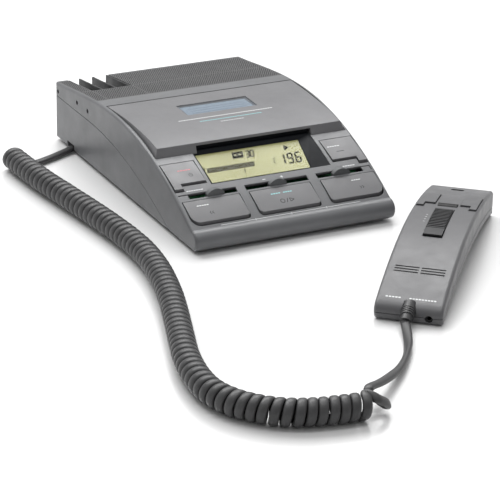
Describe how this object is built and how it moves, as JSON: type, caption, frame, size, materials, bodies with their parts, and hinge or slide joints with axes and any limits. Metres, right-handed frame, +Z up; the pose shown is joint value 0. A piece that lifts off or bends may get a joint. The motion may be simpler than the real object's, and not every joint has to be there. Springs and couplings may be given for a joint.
{
  "type": "microcassette dictation machine",
  "caption": "Desktop dictation machine with a hinged cassette lid, display, keys and sliders, and a curved hand microphone on a curly cord.",
  "frame": {"origin": "centre of the foot under the middle of the base unit, on the desk", "axes": "+X to the right of the person at the keys, +Y to the back of the base unit, +Z up"},
  "size_m": [0.3099, 0.5055, 0.0544],
  "materials": {
    "housing_plastic": "fine moulded texture",
    "lid_plastic": "fine moulded texture",
    "grille_plastic": "fine dimples",
    "key_plastic": "fine moulded texture",
    "dark_plastic": "satin",
    "clear_pane": "clear",
    "display_cell": "smooth",
    "board": "lacquered",
    "steel": "brushed",
    "brass": "turned",
    "white_plastic": "smooth",
    "rubber_black": "matt",
    "cassette_plastic": "smooth",
    "speaker_paper": "matt",
    "lamp_lens": "smooth",
    "cord_jacket": "satin"
  },
  "bodies": {
    "base": {"lower_housing": "housing_plastic", "upper_housing": "housing_plastic", "rear_grille": "grille_plastic", "connector_bay": "dark_plastic", "accessory_sockets": "dark_plastic", "lid_hinge_pins": "steel", "lid_catch": "dark_plastic", "display_frame": "dark_plastic", "display_window": "clear_pane", "display_panel": "display_cell", "key_switches": "dark_plastic", "slide_potentiometers": "dark_plastic", "key_board": "board", "main_board": "board", "loudspeaker": "speaker_paper", "deck_plate": "steel", "drive_motor": "steel", "drive_belt": "rubber_black", "microphone_socket": "dark_plastic", "microphone_plug": "dark_plastic", "rubber_feet": "rubber_black", "housing_screws": "steel", "cord_base_tail": "cord_jacket", "cord_coil": "cord_jacket", "cord_mic_tail": "cord_jacket"},
    "lid": {"cassette_lid": "lid_plastic", "lid_window": "clear_pane"},
    "cassette": {"cassette_shell": "cassette_plastic"},
    "supply_reel": {"supply_reel": "white_plastic"},
    "takeup_reel": {"takeup_reel": "white_plastic"},
    "supply_spindle": {"supply_spindle": "white_plastic"},
    "takeup_spindle": {"takeup_spindle": "white_plastic"},
    "capstan": {"capstan_flywheel": "steel"},
    "idler": {"idler_wheel": "rubber_black"},
    "motor_pulley": {"motor_pulley": "brass"},
    "head_bridge": {"head_bridge": "steel", "tape_heads": "steel"},
    "pinch_arm": {"pinch_arm": "steel"},
    "pinch_roller": {"pinch_roller": "rubber_black"},
    "power_key": {"power_key": "key_plastic"},
    "search_key": {"search_key": "key_plastic"},
    "rewind_key": {"rewind_key": "key_plastic"},
    "play_key": {"play_key": "key_plastic"},
    "wind_key": {"wind_key": "key_plastic"},
    "speed_knob": {"speed_knob": "dark_plastic"},
    "volume_knob": {"volume_knob": "dark_plastic"},
    "tone_knob": {"tone_knob": "dark_plastic"},
    "microphone": {"mic_front_shell": "housing_plastic", "mic_rear_shell": "housing_plastic", "mic_switch_body": "dark_plastic", "mic_lamp": "lamp_lens", "mic_board": "board", "mic_capsule": "steel", "mic_loudspeaker": "speaker_paper", "mic_jack": "dark_plastic", "mic_screws": "steel", "mic_strain_relief": "cord_jacket"},
    "mic_slide_knob": {"mic_slide_knob": "dark_plastic"},
    "mic_left_key": {"mic_left_key": "key_plastic"},
    "mic_right_key": {"mic_right_key": "key_plastic"}
  },
  "joints": [
    {"name": "lid_hinge", "type": "hinge", "parent": "base", "child": "lid", "pos_m": [0, 0.03, 0.0526], "axis": [-1, 0, 0], "range_deg": [0, 70]},
    {"name": "cassette_lift", "type": "slide", "parent": "base", "child": "cassette", "axis": [0, 0, 1], "range_m": [0, 0.006]},
    {"name": "capstan_spin", "type": "hinge", "parent": "base", "child": "capstan", "pos_m": [0.02, -0.011, 0.03], "axis": [0, 0, 1], "continuous": true},
    {"name": "motor_spin", "type": "hinge", "parent": "base", "child": "motor_pulley", "pos_m": [0.046, -0.014, 0.014], "axis": [0, 0, 1], "continuous": true},
    {"name": "idler_spin", "type": "hinge", "parent": "base", "child": "idler", "pos_m": [0.01528, -0.00392, 0.032], "axis": [0, 0, 1], "continuous": true},
    {"name": "takeup_spin", "type": "hinge", "parent": "base", "child": "takeup_spindle", "pos_m": [0.01, 0.004, 0.038], "axis": [0, 0, 1], "continuous": true},
    {"name": "supply_spin", "type": "hinge", "parent": "base", "child": "supply_spindle", "pos_m": [-0.012, 0.004, 0.038], "axis": [0, 0, 1], "continuous": true},
    {"name": "takeup_reel_spin", "type": "hinge", "parent": "cassette", "child": "takeup_reel", "pos_m": [0.01, 0.004, 0.041], "axis": [0, 0, 1], "continuous": true},
    {"name": "supply_reel_spin", "type": "hinge", "parent": "cassette", "child": "supply_reel", "pos_m": [-0.012, 0.004, 0.041], "axis": [0, 0, 1], "continuous": true},
    {"name": "head_slide", "type": "slide", "parent": "base", "child": "head_bridge", "axis": [0, 1, 0], "range_m": [0, 0.003], "stiffness_N_per_m": 200, "springref_m": -0.002},
    {"name": "pinch_swing", "type": "hinge", "parent": "base", "child": "pinch_arm", "pos_m": [0.034, -0.024, 0.038], "axis": [0, 0, -1], "range_deg": [0, 11.2]},
    {"name": "pinch_spin", "type": "hinge", "parent": "pinch_arm", "child": "pinch_roller", "pos_m": [0.02, -0.0185, 0.041], "axis": [0, 0, 1], "continuous": true},
    {"name": "power_key_press", "type": "hinge", "parent": "base", "child": "power_key", "pos_m": [-0.0604, -0.06, 0.04102], "axis": [1, 0, 0], "range_deg": [0, 3], "stiffness_Nm_per_rad": 0.2, "springref_deg": -5.73},
    {"name": "search_key_press", "type": "hinge", "parent": "base", "child": "search_key", "pos_m": [0.0604, -0.06, 0.04102], "axis": [1, 0, 0], "range_deg": [0, 3], "stiffness_Nm_per_rad": 0.2, "springref_deg": -5.73},
    {"name": "rewind_key_press", "type": "hinge", "parent": "base", "child": "rewind_key", "pos_m": [-0.0508, -0.0945, 0.02665], "axis": [1, 0, 0], "range_deg": [0, 3.5], "stiffness_Nm_per_rad": 0.2, "springref_deg": -5.73},
    {"name": "play_key_press", "type": "hinge", "parent": "base", "child": "play_key", "pos_m": [0, -0.0945, 0.02665], "axis": [1, 0, 0], "range_deg": [0, 3.5], "stiffness_Nm_per_rad": 0.2, "springref_deg": -5.73},
    {"name": "wind_key_press", "type": "hinge", "parent": "base", "child": "wind_key", "pos_m": [0.052, -0.0945, 0.02665], "axis": [1, 0, 0], "range_deg": [0, 3.5], "stiffness_Nm_per_rad": 0.2, "springref_deg": -5.73},
    {"name": "speed_slide", "type": "slide", "parent": "base", "child": "speed_knob", "axis": [1, 0, 0], "range_m": [-0.0125, 0.009]},
    {"name": "volume_slide", "type": "slide", "parent": "base", "child": "volume_knob", "axis": [1, 0, 0], "range_m": [-0.017, 0.016]},
    {"name": "tone_slide", "type": "slide", "parent": "base", "child": "tone_knob", "axis": [1, 0, 0], "range_m": [-0.0115, 0.0095]},
    {"name": "microphone_lift", "type": "slide", "parent": "base", "child": "microphone", "axis": [0, 0, 1], "range_m": [0, 0.08]},
    {"name": "mic_switch_slide", "type": "slide", "parent": "microphone", "child": "mic_slide_knob", "axis": [0.6494, 0.7604, 0], "range_m": [-0.004, 0.001]},
    {"name": "mic_left_key_press", "type": "slide", "parent": "microphone", "child": "mic_left_key", "axis": [0, 0, -1], "range_m": [0, 0.0009], "stiffness_N_per_m": 300, "springref_m": -0.003},
    {"name": "mic_right_key_press", "type": "slide", "parent": "microphone", "child": "mic_right_key", "axis": [0, 0, -1], "range_m": [0, 0.0009], "stiffness_N_per_m": 300, "springref_m": -0.003}
  ],
  "couplings": [
    {"joint": "cassette_lift", "follows": "lid_hinge", "m_per_rad": 0.0049106},
    {"joint": "motor_spin", "follows": "capstan_spin", "ratio": 3.5},
    {"joint": "idler_spin", "follows": "capstan_spin", "ratio": -1.4229},
    {"joint": "takeup_spin", "follows": "capstan_spin", "ratio": 0.83333},
    {"joint": "takeup_reel_spin", "follows": "capstan_spin", "ratio": 0.83333},
    {"joint": "supply_spin", "follows": "capstan_spin", "ratio": 0.66667},
    {"joint": "supply_reel_spin", "follows": "capstan_spin", "ratio": 0.66667},
    {"joint": "pinch_swing", "follows": "head_slide", "rad_per_m": 62.826}
  ]
}
